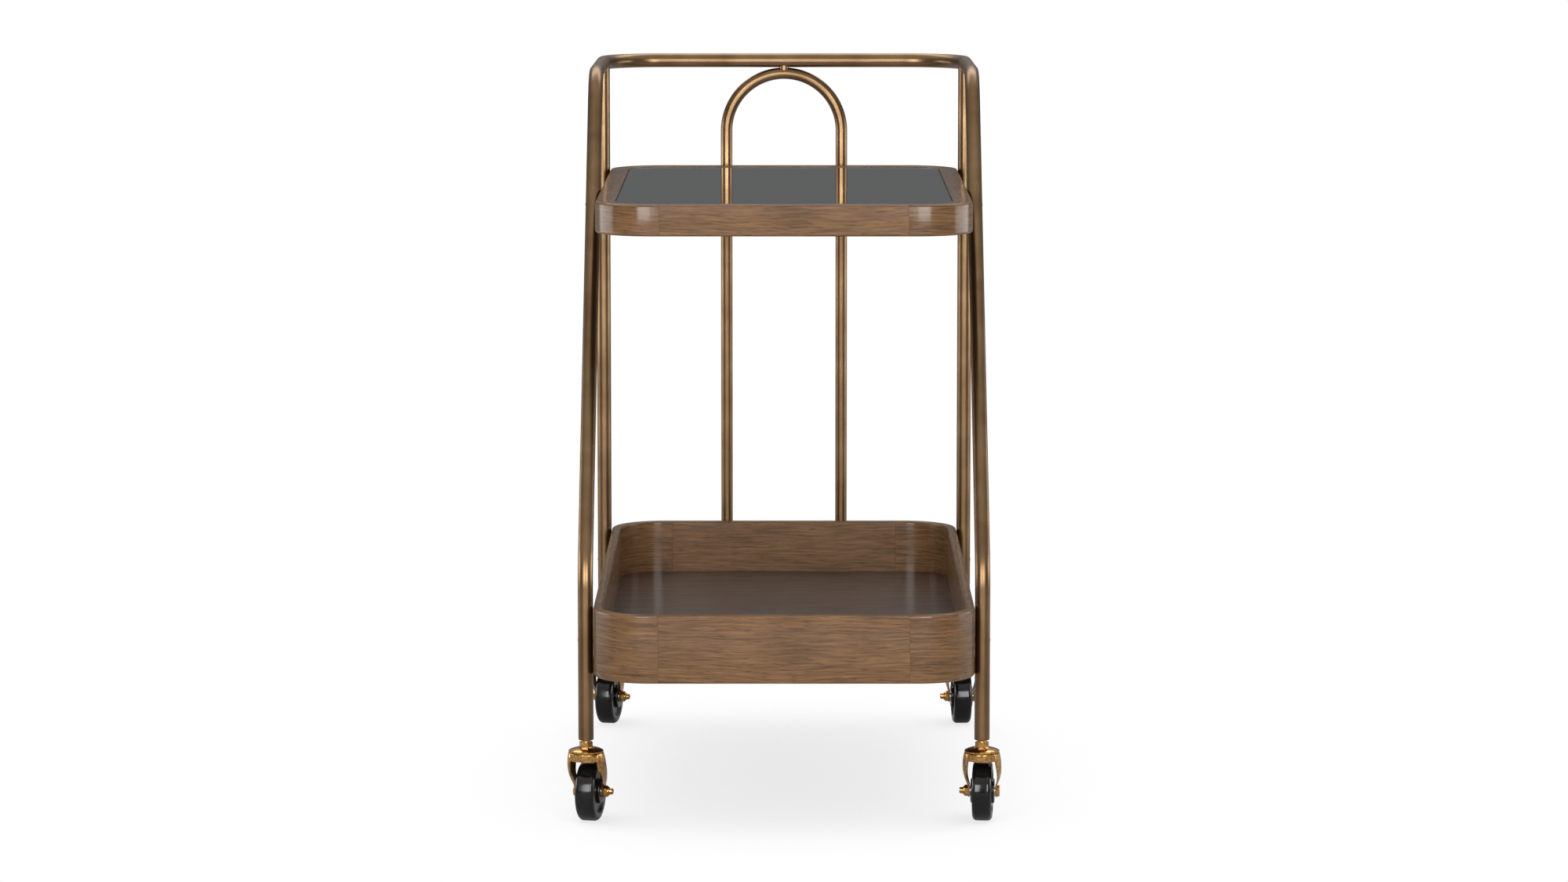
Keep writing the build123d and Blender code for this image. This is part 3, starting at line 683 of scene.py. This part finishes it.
# %% Softboxes
def softbox(name, azimuth, distance, centre_z, width, height, brightness, aim_z=0.6):
    """A rectangular light that faces the cart.

    Azimuth 0 is the camera's side, and brightness is the radiance of the light's face.
    """
    lamp = bpy.data.lights.new(name, "AREA")
    lamp.shape, lamp.size, lamp.size_y = "RECTANGLE", width, height
    lamp.energy = math.pi * brightness * width * height
    holder = bpy.data.objects.new(name, lamp)
    turn = math.radians(azimuth)
    holder.location = (distance * math.sin(turn), -distance * math.cos(turn), centre_z)
    holder.rotation_euler = (Vector((0, 0, aim_z)) - holder.location).to_track_quat("-Z", "Y").to_euler()
    holder.visible_camera = False
    bpy.context.scene.collection.objects.link(holder)
    print(name, "at", tuple(round(v, 2) for v in holder.location))


for side, turn in (("left", -1), ("right", 1)):
    softbox("front_" + side, 17 * turn, 4.0, 1.35, 1.6, 1.8, 11.0)
    softbox("side_" + side, 102 * turn, 3.0, 0.65, 2.3, 1.0, 4.2)
softbox("above", 180, 1.6, 2.6, 3.0, 1.0, 2.8)

# %% World
world = bpy.data.worlds.new("studio")
bpy.context.scene.world = world
world.use_nodes = True
tree = world.node_tree
tree.nodes.clear()
# Reflections show a sky that is brighter overhead, and the camera a white one.
direction = add(tree, "ShaderNodeTexCoord").outputs["Generated"]
up = add(tree, "ShaderNodeSeparateXYZ", {0: direction}).outputs["Z"]
lighting = add(
    tree, "ShaderNodeMapRange",
    {"Value": up, "From Min": 0.1, "From Max": 0.8, "To Min": 0.25, "To Max": 0.42},
).outputs[0]
reflected = add(
    tree, "ShaderNodeMapRange",
    {"Value": up, "From Min": 0.1, "From Max": 1.0, "To Min": 0.125, "To Max": 1.2},
).outputs[0]
ray = add(tree, "ShaderNodeLightPath").outputs
room = add(
    tree, "ShaderNodeMix", {0: ray["Is Glossy Ray"], 2: lighting, 3: reflected}, data_type="FLOAT",
).outputs[0]
strength = add(
    tree, "ShaderNodeMix", {0: ray["Is Camera Ray"], 2: room, 3: 1.0}, data_type="FLOAT",
).outputs[0]
sky = add(tree, "ShaderNodeBackground", {"Color": linear("ffffff"), "Strength": strength})
add(tree, "ShaderNodeOutputWorld", {"Surface": sky.outputs[0]})
bpy.context.scene.view_settings.view_transform = "Standard"
print("studio lit")

# %% [markdown]
# ## Camera
# The camera stands well back with a long lens, a little above the push bar, tilted down so that
# it sees into both trays.

# %% Set the camera
lens = bpy.data.cameras.new("camera")
camera_back, camera_up, tilt_down = 6.7236, 1.25495, math.radians(6.93)
lens.lens, lens.sensor_width, lens.clip_end = 118.8, 36.0, 200.0
camera = bpy.data.objects.new("camera", lens)
camera.location = (0.0, -camera_back, camera_up)
camera.rotation_euler = (math.pi / 2 - tilt_down, 0.0, 0.0)
bpy.context.scene.collection.objects.link(camera)
bpy.context.scene.camera = camera
print("camera looks from", tuple(round(v, 3) for v in camera.location))
